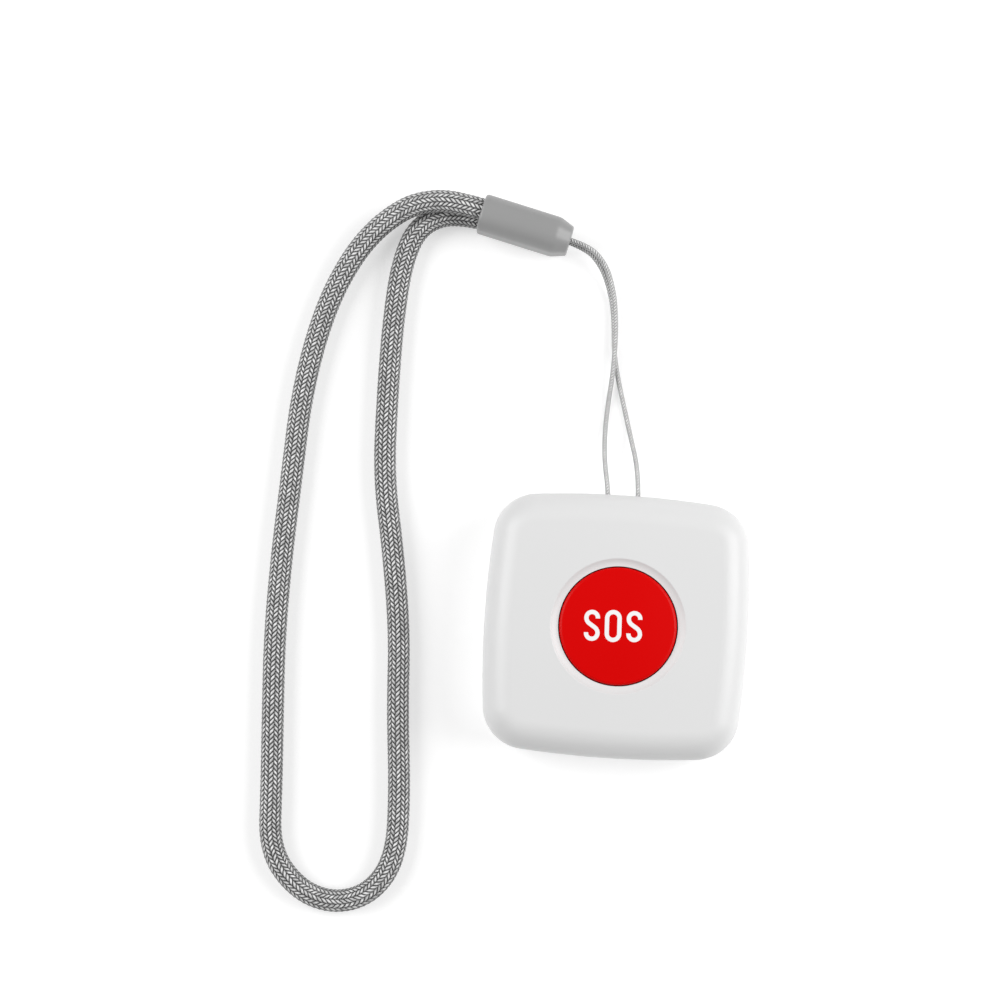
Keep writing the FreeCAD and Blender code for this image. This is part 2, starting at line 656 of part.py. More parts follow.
def door_seal():
    seal = doc.addObject("Part::Torus", "door_seal")
    seal.setExpression(
        "Radius1", "(Sizes.door_boss_radius + Sizes.door_radius - Sizes.door_rim_width) / 2")
    seal.setExpression("Radius2", "Sizes.seal_room / 2 - Sizes.flat_gap")
    seal.setExpression(
        "Placement.Base.z", "Sizes.door_sink + Sizes.door_thickness + Sizes.seal_room / 2")
    return seal


# Coin cell and its two contacts

def coin_cell():
    body = new_body("coin_cell")
    profile = sketch_on(body, "CellProfile", "XZ_Plane")
    shoulder = f"({CELL_TOP} - Sizes.cell_step)"
    cap = "(Sizes.cell_radius - Sizes.cell_can_edge)"
    outline(profile, [
        ("0", CELL_UNDER), ("Sizes.cell_radius", CELL_UNDER), ("Sizes.cell_radius", shoulder),
        (cap, shoulder), (cap, CELL_TOP), ("0", CELL_TOP),
    ])
    form = turned(body, "Revolution", "CellForm", profile)
    fillet(body, "CellEdge", form, lambda edge: at_level(edge, value(CELL_UNDER)),
           "Sizes.cell_edge_radius")
    return body


def strip(body, name, corners, width):
    """A bent strip of sheet: its side view, made as wide as the strip, about the XZ plane."""
    profile = sketch_on(body, f"{name}Profile", "XZ_Plane", height=f"-({width}) / 2")
    outline(profile, corners)
    return pad(body, name, profile, width)


def negative_contact():
    body = new_body("negative_contact")
    foot = f"({BOARD_UNDER} - Sizes.contact_sheet)"
    touch = f"({CELL_TOP} + Sizes.flat_gap)"
    reach, bend = "Sizes.spring_reach", "(Sizes.spring_reach - Sizes.contact_foot)"
    strip(body, "CellSpring", [
        (f"-{reach}", foot), (f"-{bend}", foot), ("0", touch), (bend, f"{touch} + Sizes.contact_sheet"),
        (bend, f"{touch} + 2 * Sizes.contact_sheet"), ("0", f"{touch} + Sizes.contact_sheet"),
        (f"-{bend}", BOARD_UNDER), (f"-{reach}", BOARD_UNDER),
    ], "Sizes.contact_width")
    return body


def positive_contact():
    body = new_body("positive_contact")
    inner = "(Sizes.cell_radius + 2 * Sizes.flat_gap)"
    outer = f"({inner} + Sizes.contact_sheet)"
    foot = f"({BOARD_UNDER} - Sizes.contact_sheet)"
    strip(body, "SideTab", [
        (inner, f"{CELL_UNDER} + Sizes.flat_gap"), (outer, f"{CELL_UNDER} + Sizes.flat_gap"),
        (outer, BOARD_UNDER), (f"{inner} - Sizes.contact_foot", BOARD_UNDER),
        (f"{inner} - Sizes.contact_foot", foot), (inner, foot),
    ], "Sizes.contact_width")
    return body


# Circuit board with the switch, the radio and the small parts on it

def circuit_board():
    body = new_body("circuit_board")
    sketch = sketch_on(body, "BoardOutline", height=BOARD_UNDER)
    pillow(sketch, "Sizes.wall + Sizes.board_margin")
    pad(body, "Board", sketch, "Sizes.board_thickness")
    notch_sketch = sketch_on(body, "BossNotches", height=BOARD_UNDER)
    place = f"({BOSS_PLACE} + Sizes.notch_shift)"
    for x, y in FOUR_CORNERS:
        circle(notch_sketch, f"{x}{place}", f"{y}{place}",
               "Sizes.boss_radius + Sizes.notch_shift * sqrt(2) + Sizes.board_gap")
    pocket(body, "BossClearance", notch_sketch, "Sizes.board_thickness")
    hole_sketch = sketch_on(body, "BoardHoles", height=BOARD_UNDER)
    for x in ("", "-"):
        circle(hole_sketch, f"{x}{POST_PLACE}", "0", "Sizes.screw_radius + Sizes.side_gap")
    pocket(body, "BoardScrewHoles", hole_sketch, "Sizes.board_thickness")
    return body


DOME_UNDER = (f"({COVER_UNDER} - 2 * Sizes.flat_gap"
              " - Sizes.plunger_flange - Sizes.dome_height)")


def switch_base():
    body = new_body("switch_base")
    sketch = sketch_on(body, "SwitchOutline", height=BOARD_TOP)
    half = "Sizes.switch_width / 2"
    rectangle(sketch, f"-{half}", half, f"-{half}", half)
    pad(body, "SwitchBody", sketch, "Sizes.switch_base_height")
    cavity_sketch = sketch_on(body, "DomeCavity", height=COVER_UNDER)
    circle(cavity_sketch, "0", "0", "Sizes.dome_radius + Sizes.side_gap")
    pocket(body, "DomeRoom", cavity_sketch, f"{COVER_UNDER} - {DOME_UNDER}", upward=False)
    return body


def switch_dome():
    body = new_body("switch_dome")
    inside = "(Sizes.dome_radius - Sizes.dome_sheet)"
    crown = f"({DOME_UNDER} + Sizes.dome_height)"
    sphere = "((Sizes.dome_radius ^ 2 + Sizes.dome_height ^ 2) / (2 * Sizes.dome_height))"
    hollow = "(Sizes.dome_height - Sizes.dome_sheet)"
    inner_sphere = f"(({inside} ^ 2 + {hollow} ^ 2) / (2 * {hollow}))"
    profile = sketch_on(body, "DomeProfile", "XZ_Plane")
    outline(profile, [
        ("0", crown), ("Sizes.dome_radius", DOME_UNDER), (inside, DOME_UNDER),
        ("0", f"{crown} - Sizes.dome_sheet"),
    ], {0: (sphere, -1), 2: (inner_sphere, 1)})
    turned(body, "Revolution", "Dome", profile)
    return body


def switch_plunger():
    body = new_body("switch_plunger")
    bottom = f"({DOME_UNDER} + Sizes.dome_height + Sizes.flat_gap)"
    flange = f"({COVER_UNDER} - Sizes.flat_gap)"
    profile = sketch_on(body, "PlungerProfile", "XZ_Plane")
    outline(profile, [
        ("0", bottom), ("Sizes.dome_radius", bottom), ("Sizes.dome_radius", flange),
        ("Sizes.plunger_radius", flange), ("Sizes.plunger_radius", PLUNGER_TOP), ("0", PLUNGER_TOP),
    ])
    turned(body, "Revolution", "Plunger", profile)
    return body


def switch_cover():
    body = new_body("switch_cover")
    sketch = sketch_on(body, "CoverOutline", height=COVER_UNDER)
    half = "Sizes.switch_width / 2"
    rectangle(sketch, f"-{half}", half, f"-{half}", half)
    circle(sketch, "0", "0", "Sizes.plunger_radius + Sizes.side_gap")
    pad(body, "CoverPlate", sketch, "Sizes.switch_cover_sheet")
    inner = f"({half} + Sizes.flat_gap)"
    outer = f"({inner} + Sizes.switch_cover_sheet)"
    top = f"({COVER_UNDER} + Sizes.switch_cover_sheet)"
    low = f"({top} - Sizes.cover_tab_height)"
    for side, name in ((1, "RightTab"), (-1, "LeftTab")):
        profile = sketch_on(body, f"{name}Profile", "XZ_Plane", height="-Sizes.cover_tab_width / 2")
        corners = [(f"{half} - Sizes.switch_cover_sheet", top),
                   (f"{half} - Sizes.switch_cover_sheet", COVER_UNDER), (inner, COVER_UNDER),
                   (inner, low), (outer, low), (outer, top)]
        outline(profile, [(f"{side} * ({x})", z) for x, z in corners])
        pad(body, name, profile, "Sizes.cover_tab_width")
    return body


def several_solids(label):
    """A body that may hold several separate solids of one kind."""
    body = new_body(label)
    body.AllowCompound = True
    return body


def switch_terminals():
    body = several_solids("switch_terminals")
    inner = "(Sizes.switch_width / 2 + Sizes.flat_gap)"
    sheet = f"({inner} + Sizes.contact_sheet)"
    reach = "(Sizes.switch_width / 2 + Sizes.terminal_reach)"
    foot = f"({BOARD_TOP} + Sizes.contact_sheet)"
    rise = f"({BOARD_TOP} + Sizes.terminal_rise)"
    corners = [(inner, BOARD_TOP), (reach, BOARD_TOP), (reach, foot), (sheet, foot),
               (sheet, rise), (inner, rise)]
    for number, (side, row) in enumerate(((1, ""), (1, "-"), (-1, ""), (-1, "-")), 1):
        profile = sketch_on(body, f"Terminal{number}Profile", "XZ_Plane",
                            height=f"{row}Sizes.terminal_place - Sizes.terminal_width / 2")
        outline(profile, [(f"{side} * {x}", z) for x, z in corners])
        pad(body, f"Terminal{number}", profile, "Sizes.terminal_width")
    return body


RADIO_TOP = f"({BOARD_TOP} + Sizes.radio_thickness)"
RADIO_SIDE = "Sizes.radio_width / 2"
RADIO_END = "(Sizes.body_width / 2 - Sizes.wall - Sizes.board_margin - Sizes.radio_margin)"
RADIO_START = f"({RADIO_END} - Sizes.radio_length)"


def radio_board():
    body = new_body("radio_board")
    sketch = sketch_on(body, "RadioOutline", height=BOARD_TOP)
    rectangle(sketch, f"-{RADIO_SIDE}", RADIO_SIDE, RADIO_START, RADIO_END)
    pad(body, "RadioBoard", sketch, "Sizes.radio_thickness")
    pads_sketch = sketch_on(body, "EdgeContactRound", height=BOARD_TOP)
    for side in (RADIO_START, RADIO_END):
        circle(pads_sketch, f"Sizes.radio_pitch - {RADIO_SIDE}", side, "Sizes.radio_pitch / 4")
    contacts = pocket(body, "EdgeContact", pads_sketch, "Sizes.radio_thickness")
    row = body.newObject("PartDesign::LinearPattern", "EdgeContacts")
    row.Originals = [contacts]
    row.Direction = (pads_sketch, ["H_Axis"])
    row.setExpression("Length", "(Sizes.radio_contacts - 1) * Sizes.radio_pitch")
    row.setExpression("Occurrences", "Sizes.radio_contacts")
    body.Tip = row
    return body


def radio_shield():
    body = new_body("radio_shield")
    sketch = sketch_on(body, "ShieldOutline", height=RADIO_TOP)
    left, right = f"(Sizes.shield_margin - {RADIO_SIDE})", f"({RADIO_SIDE} - Sizes.aerial_length)"
    low, high = f"({RADIO_START} + Sizes.shield_inset)", f"({RADIO_END} - Sizes.shield_margin)"
    rectangle(sketch, left, right, low, high)
    pad(body, "ShieldForm", sketch, "Sizes.shield_height")
    inside_sketch = sketch_on(body, "ShieldInside", height=RADIO_TOP)
    sheet = "Sizes.shield_sheet"
    rectangle(inside_sketch, f"{left} + {sheet}", f"{right} - {sheet}", f"{low} + {sheet}",
              f"{high} - {sheet}")
    pocket(body, "ShieldRoom", inside_sketch, f"Sizes.shield_height - {sheet}")
    return body


def status_led():
    body = new_body("status_led")
    sketch = sketch_on(body, "LampOutline", height=BOARD_TOP)
    rectangle(sketch, f"{LED_X} - Sizes.led_length / 2", f"{LED_X} + Sizes.led_length / 2",
              f"{LED_Y} - Sizes.led_width / 2", f"{LED_Y} + Sizes.led_width / 2")
    pad(body, "LampBase", sketch, "Sizes.led_height / 2")
    lens_sketch = sketch_on(body, "LensOutline", height=f"{BOARD_TOP} + Sizes.led_height / 2")
    rectangle(lens_sketch, f"{LED_X} - Sizes.led_length / 3", f"{LED_X} + Sizes.led_length / 3",
              f"{LED_Y} - Sizes.led_width / 2", f"{LED_Y} + Sizes.led_width / 2")
    pad(body, "Lens", lens_sketch, "Sizes.led_height / 2", taper="-Sizes.front_draft")
    return body


def smd_parts():
    body = several_solids("smd_parts")
    chip_sketch = sketch_on(body, "ChipOutline", height=BOARD_TOP)
    rectangle(chip_sketch, "-Sizes.chip_width / 2", "Sizes.chip_width / 2",
              "-Sizes.chip_y - Sizes.chip_width", "-Sizes.chip_y")
    pad(body, "Chip", chip_sketch, "Sizes.chip_height")
    small_sketch = sketch_on(body, "ResistorOutline", height=BOARD_TOP)
    rectangle(small_sketch, "Sizes.chip_width", "Sizes.chip_width + Sizes.led_length",
              "-Sizes.chip_y - Sizes.led_width", "-Sizes.chip_y")
    resistor = pad(body, "Resistor", small_sketch, "Sizes.led_height")
    row = body.newObject("PartDesign::LinearPattern", "Resistors")
    row.Originals = [resistor]
    row.Direction = (small_sketch, ["V_Axis"])
    row.Reversed = True
    row.setExpression("Length", "(Sizes.resistor_count - 1) * Sizes.resistor_pitch")
    row.setExpression("Occurrences", "Sizes.resistor_count")
    body.Tip = row
    return body


# Self-tapping screws: flat head with a cross recess, shank and pointed end

def screws(label, places, seat, length, upward):
    """Screws whose heads lie on the seat level, with their shanks up or down from it."""
    body = several_solids(label)
    sign = "-" if upward else "+"
    face = f"({seat} {sign} Sizes.screw_head_height)"

    def circles(name, height, radius):
        sketch = sketch_on(body, name, height=height)
        for x, y in places:
            circle(sketch, x, y, radius)
        return sketch

    pad(body, f"{label}_heads", circles(f"{label}_head_rounds", face, "Sizes.screw_head_radius"),
        "Sizes.screw_head_height", upward=upward)
    shanks = pad(body, f"{label}_shanks", circles(f"{label}_shank_rounds", seat, "Sizes.screw_radius"),
                 length, upward=upward)
    doc.recompute()
    end_level = value(seat) + (value(length) if upward else -value(length))
    tips = body.newObject("PartDesign::Chamfer", f"{label}_tips")
    tips.Base = (shanks, [f"Edge{number}" for number, edge in enumerate(shanks.Shape.Edges, 1)
                          if at_level(edge, end_level)])
    tips.ChamferType = "Two distances"
    tips.setExpression("Size", "Sizes.screw_tip")
    tips.setExpression("Size2", "Sizes.screw_radius * Sizes.screw_point")
    long_side, short_side = "(Sizes.cross_length / 2)", "(Sizes.cross_width / 2)"
    for name, x_half, y_half in (("across", long_side, short_side), ("along", short_side, long_side)):
        sketch = sketch_on(body, f"{label}_cross_{name}", height=face)
        for x, y in places:
            rectangle(sketch, f"{x} - {x_half}", f"{x} + {x_half}", f"{y} - {y_half}", f"{y} + {y_half}")
        pocket(body, f"{label}_recess_{name}", sketch, "Sizes.cross_depth", upward=upward)
    return body


# Cuff: oval moulding that grips both ends of the cord and the knot of the thread

def on_cuff(body):
    """Places a body that is drawn along +X from the cuff's mouth."""
    body.Placement = FreeCAD.Placement(
        Vector(0, 0, 0), FreeCAD.Rotation(Vector(0, 0, 1), value("Sizes.cuff_turn")))
    body.setExpression("Placement.Rotation.Angle", "Sizes.cuff_turn")
    body.setExpression("Placement.Base.x", "Sizes.cuff_mouth_x")
    body.setExpression("Placement.Base.y", "Sizes.cuff_mouth_y")
    body.setExpression("Placement.Base.z", "Sizes.cuff_height / 2")
    return body


def across(edge, place):
    box = edge.BoundBox
    return abs(box.XMin - place) < 1e-4 and abs(box.XMax - place) < 1e-4


def strap_cuff():
    body = on_cuff(new_body("strap_cuff"))
    section = sketch_on(body, "CuffSection", "YZ_Plane")
    rounded_rectangle(section, "Sizes.cuff_width", "Sizes.cuff_height", "Sizes.cuff_corner")
    pad(body, "CuffForm", section, "Sizes.cuff_straight")
    shoulder = sketch_on(body, "ShoulderSection", "YZ_Plane", height="Sizes.cuff_straight")
    rounded_rectangle(shoulder, "Sizes.cuff_width", "Sizes.cuff_height", "Sizes.cuff_corner")
    tip = sketch_on(body, "TipSection", "YZ_Plane", height="Sizes.cuff_length")
    rounded_rectangle(tip, "Sizes.cuff_tip_width", "Sizes.cuff_tip_height", "Sizes.cuff_tip_corner")
    nose = body.newObject("PartDesign::AdditiveLoft", "Nose")
    nose.Profile = shoulder
    nose.Sections = [tip]
    nose.Ruled = True
    rim = fillet(body, "Shoulders", nose, lambda edge: across(edge, value("Sizes.cuff_straight")),
                 "Sizes.cuff_shoulder")
    rim = fillet(body, "MouthRim", rim, lambda edge: across(edge, 0), "Sizes.cuff_rim")
    rim = fillet(body, "TipRim", rim, lambda edge: across(edge, value("Sizes.cuff_length")),
                 "Sizes.cuff_rim")
    bore = sketch_on(body, "BoreSection", "YZ_Plane")
    rounded_rectangle(bore, "Sizes.bore_width", "Sizes.bore_height", "Sizes.bore_corner")
    pocket(body, "Bore", bore, "Sizes.bore_depth")
    slot = sketch_on(body, "ThreadSlot", "YZ_Plane")
    slot_width = "(Sizes.thread_diameter + 2 * Sizes.side_gap)"
    slot_height = "(2 * Sizes.thread_diameter + 2 * Sizes.side_gap)"
    rounded_rectangle(slot, slot_width, slot_height, f"{slot_width} / 2 - Sizes.flat_gap")
    pocket(body, "ThreadExit", slot, f"Sizes.cuff_length + {PAST_FORM}")
    return body


def thread_knot():
    body = on_cuff(new_body("thread_knot"))
    face = "(Sizes.bore_depth - Sizes.flat_gap)"
    sketch = sketch_on(body, "KnotRound", "YZ_Plane", height=f"{face} - Sizes.knot_length")
    circle(sketch, "0", "0", "Sizes.knot_radius")
    form = pad(body, "KnotForm", sketch, "Sizes.knot_length")
    fillet(body, "KnotEdges", form, lambda edge: edge.BoundBox.YLength > 1e-4, "Sizes.knot_edge")
    return body


# Cords: tubes along straight runs joined by tangent arcs

CORD_ROUTE = [
    (-24.6, 76.46, 7.33), (-34.05, 78.8, 7.33), (-39.8, 79.2, 6.5), (-45.6, 77.6, 5.0),
    (-52.3, 71.9, 3.3), (-57.5, 63.0, 2.2), (-60.8, 52.5, 2.2), (-63.0, 39.5, 2.2),
    (-63.7, 25.5, 2.2), (-64.6, 10.0, 2.2), (-64.9, -6.0, 2.2), (-64.2, -21.0, 2.2),
    (-63.5, -34.5, 2.2), (-63.1, -46.7, 2.2), (-57.35, -53.7, 2.2), (-50.2, -56.05, 2.2),
    (-43.2, -53.7, 2.2), (-38.9, -46.7, 2.2), (-39.0, -34.0, 2.2), (-40.5, -18.5, 2.2),
    (-41.0, -4.5, 2.2), (-43.3, 11.5, 2.2), (-46.1, 26.0, 2.2), (-46.4, 41.0, 2.2),
    (-46.3, 55.5, 2.2), (-45.3, 68.1, 2.2), (-42.1, 75.6, 2.3), (-34.1, 78.0, 3.07),
    (-24.86, 75.4, 3.07),
]
THREAD_ROUTE = [
    (-17.96, 74.245, 5.72), (-10.25, 72.6, 5.65), (-6.05, 69.3, 3.5), (-4.0, 64.0, 1.65),
    (-3.35, 58.8, 1.6), (-3.2, 53.8, 1.8), (-3.35, 48.2, 1.7), (-3.85, 42.8, 0.55),
    (-4.15, 37.0, 0.6), (-3.95, 31.2, 3.2), (-2.85, 25.2, 5.0), (-2.85, 17.75, 5.0),
    (2.85, 17.75, 5.0), (2.85, 25.2, 5.0), (2.35, 31.0, 3.2), (0.9, 36.6, 0.6),
    (-0.75, 42.4, 0.55), (-2.3, 48.0, 0.55), (-3.4, 53.5, 0.55), (-3.65, 58.6, 0.55),
    (-4.45, 63.5, 0.6), (-6.7, 68.7, 2.4), (-10.4, 72.05, 4.68), (-17.96, 74.245, 4.68),
]
ARC_SHARE = 0.45


def cord(label, route, diameter):
    points = [Vector(*point) for point in route]
    edges, radii = [], []
    start = points[0]
    for before, point, after in zip(points, points[1:], points[2:]):
        back, ahead = (before - point), (after - point)
        reach = ARC_SHARE * min(back.Length, ahead.Length)
        turn = math.pi - back.getAngle(ahead)
        radius = reach / math.tan(turn / 2)
        radii.append(radius)
        enter = point + back.normalize() * reach
        leave = point + ahead.normalize() * reach
        inward = (back + ahead).normalize()
        middle = point + inward * (radius / math.cos(turn / 2) - radius)
        edges += [Part.LineSegment(start, enter).toShape(), Part.Arc(enter, middle, leave).toShape()]
        start = leave
    edges.append(Part.LineSegment(start, points[-1]).toShape())

    path = doc.addObject("Part::Feature", f"{label}_route")
    path.Shape = Part.Wire(edges)
    section = doc.addObject("Part::Circle", f"{label}_section")
    section.setExpression("Radius", f"{diameter} / 2")
    run = points[1] - points[0]
    section.Placement = FreeCAD.Placement(points[0], FreeCAD.Rotation(Vector(0, 0, 1), run))
    tube = doc.addObject("Part::Sweep", label)
    tube.Label = label
    tube.Sections = [section]
    tube.Spine = (path, [f"Edge{number}" for number in range(1, len(edges) + 1)])
    tube.Solid = True
    doc.recompute()
    area = math.pi * value(diameter) ** 2 / 4
    print(f"{label}: length {path.Shape.Length:.1f}, radii {', '.join(f'{r:.1f}' for r in radii)},"
          f" volume share {tube.Shape.Volume / (area * path.Shape.Length):.4f}")
    return tube


CORNER_PLACES = [(f"{x}{BOSS_PLACE}", f"{y}{BOSS_PLACE}") for x, y in FOUR_CORNERS]
POST_PLACES = [(f"{x}{POST_PLACE}", "0") for x in ("", "-")]

PIECES = [
    front_shell(), rear_shell(), button_cap(),
    battery_door(), door_seal(), coin_cell(), negative_contact(), positive_contact(),
    circuit_board(), switch_base(), switch_dome(), switch_plunger(), switch_cover(),
    switch_terminals(), radio_board(), radio_shield(), status_led(), smd_parts(),
    screws("housing_screws", CORNER_PLACES, SCREW_SEAT, "Sizes.screw_length", True),
    screws("board_screws", POST_PLACES, BOARD_TOP, "Sizes.board_screw_length", False),
    strap_cuff(), thread_knot(),
    cord("strap_cord", CORD_ROUTE, "Sizes.cord_diameter"),
    cord("thread_loop", THREAD_ROUTE, "Sizes.thread_diameter"),
]

doc.recompute()
for item in doc.Objects:
    if "Invalid" in item.State or "Error" in item.State:
        raise RuntimeError(f"{item.Label} failed: {item.State}")
for piece in PIECES:
    shape = piece.Shape
    if shape.isNull() or not shape.isValid():
        raise RuntimeError(f"{piece.Label} has no valid shape")
    print(f"{piece.Label}: {len(shape.Solids)} solids, {shape.Volume:.1f} mm3")
    shape.exportStep(f"parts/{piece.Label}.step")
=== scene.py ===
"""Looks of a wireless panic button on a wrist lanyard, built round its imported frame, in metres."""

import math

import bmesh
import bpy
import numpy as np
from mathutils import Matrix, Vector


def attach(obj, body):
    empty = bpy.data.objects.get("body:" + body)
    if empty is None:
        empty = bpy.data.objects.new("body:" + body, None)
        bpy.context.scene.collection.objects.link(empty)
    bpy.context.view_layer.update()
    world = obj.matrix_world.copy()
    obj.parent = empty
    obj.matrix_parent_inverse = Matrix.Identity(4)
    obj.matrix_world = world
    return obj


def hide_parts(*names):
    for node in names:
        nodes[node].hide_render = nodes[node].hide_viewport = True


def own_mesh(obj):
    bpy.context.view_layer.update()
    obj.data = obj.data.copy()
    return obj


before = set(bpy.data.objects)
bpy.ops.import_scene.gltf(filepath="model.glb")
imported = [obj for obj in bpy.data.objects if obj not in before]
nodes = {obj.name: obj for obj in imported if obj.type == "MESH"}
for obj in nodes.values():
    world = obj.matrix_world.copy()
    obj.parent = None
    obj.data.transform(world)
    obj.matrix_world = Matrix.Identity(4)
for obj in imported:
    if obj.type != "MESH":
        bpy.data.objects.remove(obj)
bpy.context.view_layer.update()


# Camera
# The photograph looks almost straight down on the button and its strap from 450 mm. The camera is
# rolled a few degrees, which leans the housing over in the picture.

CAMERA_TARGET = Vector((-0.02349, 0.02257, 0.0062))
CAMERA_DISTANCE = 0.450
CAMERA_ELEVATION = math.radians(86.89)
CAMERA_ROLL = math.radians(3.69)
CAMERA_LENS = 85.05

camera_data = bpy.data.cameras.new("camera")
camera_data.sensor_width = 36
camera_data.lens = CAMERA_LENS
camera_data.clip_start = 0.01
camera = bpy.data.objects.new("camera", camera_data)
bpy.context.collection.objects.link(camera)
backwards = Vector((0, -math.cos(CAMERA_ELEVATION), math.sin(CAMERA_ELEVATION)))
sideways = Matrix.Rotation(CAMERA_ROLL, 3, backwards) @ Vector((1, 0, 0))
upwards = backwards.cross(sideways)
facing = Matrix((sideways, upwards, backwards)).transposed().to_4x4()
camera.matrix_world = Matrix.Translation(CAMERA_TARGET + backwards * CAMERA_DISTANCE) @ facing
bpy.context.scene.camera = camera


# Wrist strap
# A hollow braid of grey polyester yarn round a limp core, 4.3 mm thick. Twenty-eight bobbins lay it,
# each yarn over two and under two others, so slanted stitches stand in ribs along the cord. It is
# folded in half, and both of its ends go into the cuff.

STRAP_ROUTE = [
    (-0.0246, 0.07646, 0.00733), (-0.03405, 0.0788, 0.00733), (-0.0398, 0.0792, 0.0065),
    (-0.0456, 0.0776, 0.0050), (-0.0523, 0.0719, 0.0033), (-0.0575, 0.0630, 0.0022),
    (-0.0608, 0.0525, 0.0022), (-0.0630, 0.0395, 0.0022), (-0.0637, 0.0255, 0.0022),
    (-0.0646, 0.0100, 0.0022), (-0.0649, -0.0060, 0.0022), (-0.0642, -0.0210, 0.0022),
    (-0.0635, -0.0345, 0.0022), (-0.0631, -0.0467, 0.0022), (-0.05735, -0.0537, 0.0022),
    (-0.0502, -0.05605, 0.0022), (-0.0432, -0.0537, 0.0022), (-0.0389, -0.0467, 0.0022),
    (-0.0390, -0.0340, 0.0022), (-0.0405, -0.0185, 0.0022), (-0.0410, -0.0045, 0.0022),
    (-0.0433, 0.0115, 0.0022), (-0.0461, 0.0260, 0.0022), (-0.0464, 0.0410, 0.0022),
    (-0.0463, 0.0555, 0.0022), (-0.0453, 0.0681, 0.0022), (-0.0421, 0.0756, 0.0023),
    (-0.0341, 0.0780, 0.00307), (-0.02486, 0.0754, 0.00307),
]
STRAP_DIAMETER = 0.0043
STRAP_CORE_RADIUS = 0.0016
STRAP_BOBBINS = 28
STRAP_LAY = 0.0127
STRAP_YARN = (0.00060, 0.00034)
STRAP_YARN_DIP = 0.00017
STRAP_STEPS = 46
YARN_SIDES = 6
BRAID_REPEAT = 4
CREST_FLATNESS = 1.1
JOIN_GAP = 0.000002
LINE_STEP = 0.0002

# The dark tone is painted shade: the yarns are drawn in it where they dip under others and on their
# flanks.
YARN_LIGHT = "#FFFFFF"
YARN_DARK = "#444444"
# How much painted shade darkens the strap's lower side.
STRAP_LOWER_SIDE_SHADE = 0.65
STRAP_UNEVENNESS = 0.4
# The core is drawn near black, darker than its yarn, so that the gaps of the braid show as painted
# shade.
CORE_SHADE_GREY = "#262626"


def cord_core(name, route, radius):
    """A round core on one smooth spline with the route's points as its control points."""
    data = bpy.data.curves.new(name, "CURVE")
    data.dimensions = "3D"
    data.resolution_u = 16
    data.use_fill_caps = True
    spline = data.splines.new("NURBS")
    spline.points.add(len(route) - 1)
    for point, place in zip(spline.points, route):
        point.co = (*place, 1)
    spline.order_u = 3
    spline.use_endpoint_u = True
    core = bpy.data.objects.new(name, data)
    bpy.context.collection.objects.link(core)
    line = line_along(core)
    data.bevel_depth = radius
    data.bevel_resolution = 3
    return core, line


def line_along(core):
    """The spline at even steps: how far along, the points, and the ways to its left and up."""
    traced = bpy.data.meshes.new_from_object(core)
    points = np.array([vertex.co for vertex in traced.vertices])
    bpy.data.meshes.remove(traced)
    reach = np.append(0, np.cumsum(np.linalg.norm(np.diff(points, axis=0), axis=1)))
    stations = np.linspace(0, reach[-1], round(reach[-1] / LINE_STEP))
    points = np.column_stack([np.interp(stations, reach, axis) for axis in points.T])
    ahead = np.gradient(points, axis=0)
    ahead /= np.linalg.norm(ahead, axis=1)[:, None]
    left = np.cross((0, 0, 1), ahead)
    left /= np.linalg.norm(left, axis=1)[:, None]
    return stations, points, left, np.cross(ahead, left)


def bent_along(places, line):
    """Takes points drawn along +X, with +Z up, to their places along the cord's line."""
    stations, points, left, up = line
    at = [np.column_stack([np.interp(places[:, 0], stations, axis) for axis in way.T])
          for way in (points, left, up)]
    return at[0] + places[:, 1:2] * at[1] + places[:, 2:3] * at[2]


